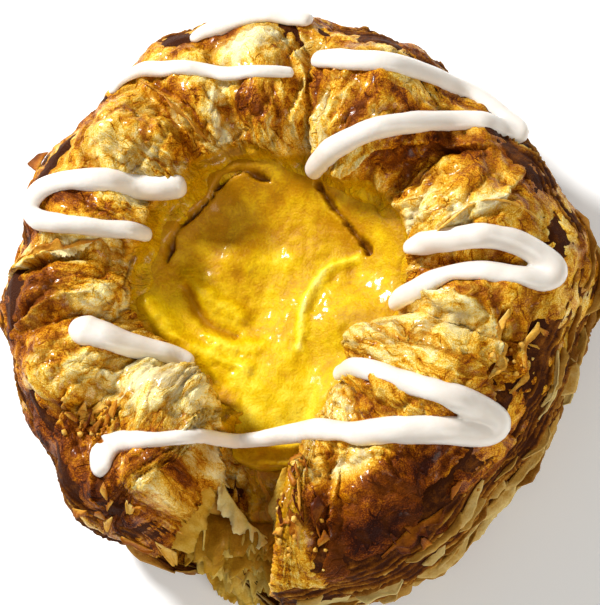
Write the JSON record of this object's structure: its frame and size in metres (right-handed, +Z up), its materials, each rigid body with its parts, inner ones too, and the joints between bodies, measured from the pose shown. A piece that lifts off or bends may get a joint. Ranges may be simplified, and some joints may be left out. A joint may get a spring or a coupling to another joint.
{
  "type": "danish pastry",
  "caption": "Round danish pastry: a puffed ring of folded flaky dough round a baked custard, open at a torn front seam, with poured white icing.",
  "frame": {"origin": "on the surface it rests on, under the middle of its bounding box", "axes": "+Z up through the bowl of custard; -Y towards the torn seam at the front; +X towards the right-hand side"},
  "size_m": [0.1032, 0.1044, 0.0348],
  "materials": {
    "dough": "baked, flaky, egg-washed",
    "custard": "moist baked skin",
    "icing": "smooth set sugar icing"
  },
  "bodies": {
    "root": {"dough": "dough", "custard": "custard", "icing_back": "icing", "icing_upper_left": "icing", "icing_upper_right": "icing", "icing_left": "icing", "icing_right": "icing", "icing_lower_left": "icing", "icing_front": "icing"}
  },
  "joints": []
}
